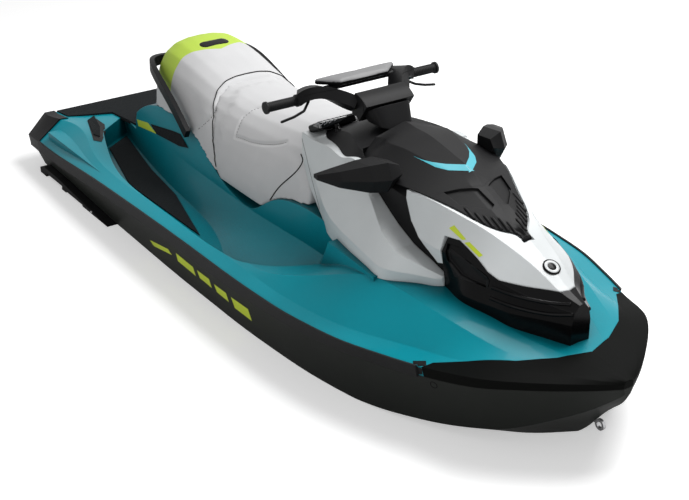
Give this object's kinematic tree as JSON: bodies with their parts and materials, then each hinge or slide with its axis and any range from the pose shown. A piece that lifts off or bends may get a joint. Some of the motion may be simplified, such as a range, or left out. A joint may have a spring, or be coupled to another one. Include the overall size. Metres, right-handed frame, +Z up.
{
  "type": "personal watercraft",
  "caption": "Sit-down personal watercraft afloat: deep hull, long stepped seat, raked steering column with handlebar, hinged bow lid, and a steerable jet nozzle with a reverse bucket.",
  "frame": {"origin": "on the centreline, amidships, at the waterline when the empty craft floats", "axes": "+X towards the bow, +Y to port, +Z up"},
  "size_m": [3.32, 1.2498, 1.0955],
  "materials": {
    "hull_black": "black gelcoat, satin gloss",
    "deck_teal": "teal gelcoat, gloss",
    "trim_black": "moulded black plastic, fine grain",
    "mat_black": "textured foam mat",
    "bumper_rubber": "moulded rubber strip",
    "seat_vinyl": "light grey marine vinyl with a lime rear top",
    "panel_white": "white gelcoat, gloss",
    "gloss_black": "gloss black plastic",
    "pump_alloy": "cast aluminium, painted grey",
    "stainless": "stainless steel",
    "engine_alloy": "plain engine casing",
    "pad_grey": "mid grey soft pad cover",
    "grip_rubber": "ribbed rubber grip"
  },
  "bodies": {
    "root": {"hull": "hull_black", "deck": "deck_teal", "bow_cover": "trim_black", "rear_platform": "mat_black", "side_bumpers": "bumper_rubber", "stern_corners": "trim_black", "traction_mats": "mat_black", "seat_front": "seat_vinyl", "seat_rear": "seat_vinyl", "nose_hood": "panel_white", "nose_grille": "gloss_black", "console_body": "trim_black", "side_panel_right": "panel_white", "side_panel_left": "panel_white", "storage_bin": "trim_black", "gauge": "gloss_black", "grab_rail": "trim_black", "sponson_right": "trim_black", "sponson_left": "trim_black", "pump_housing": "pump_alloy", "ride_plate": "pump_alloy", "intake_grate": "pump_alloy", "engine_block": "engine_alloy", "bow_eye": "stainless", "stern_eyes": "stainless"},
    "front_lid": {"lid_panel": "trim_black", "lid_insert": "trim_black", "mirror_right": "trim_black", "mirror_left": "trim_black"},
    "steering": {"steering_column": "trim_black", "handlebar": "stainless", "handlebar_cover": "trim_black", "handlebar_pad": "pad_grey", "grips": "grip_rubber", "levers": "trim_black"},
    "nozzle": {"steering_nozzle": "pump_alloy"},
    "bucket": {"reverse_bucket": "pump_alloy"},
    "impeller_shaft": {"impeller": "stainless", "drive_shaft": "stainless"}
  },
  "joints": [
    {"name": "steering_turn", "type": "hinge", "parent": "root", "child": "steering", "pos_m": [0.39, 0, 0.732], "axis": [-0.5446, 0, 0.8387], "range_deg": [-23, 23]},
    {"name": "nozzle_turn", "type": "hinge", "parent": "root", "child": "nozzle", "pos_m": [-1.374, 0, -0.064], "axis": [0, 0, 1], "range_deg": [-20, 20]},
    {"name": "bucket_turn", "type": "hinge", "parent": "root", "child": "bucket", "pos_m": [-1.356, 0, -0.064], "axis": [0, -1, 0], "range_deg": [0, 65]},
    {"name": "impeller_spin", "type": "hinge", "parent": "root", "child": "impeller_shaft", "pos_m": [-1.2, 0, -0.064], "axis": [1, 0, 0], "continuous": true},
    {"name": "front_lid_hinge", "type": "hinge", "parent": "root", "child": "front_lid", "pos_m": [1.14, 0, 0.582], "axis": [0, 1, 0], "range_deg": [0, 60]}
  ],
  "couplings": [
    {"joint": "nozzle_turn", "follows": "steering_turn", "ratio": 0.8}
  ]
}
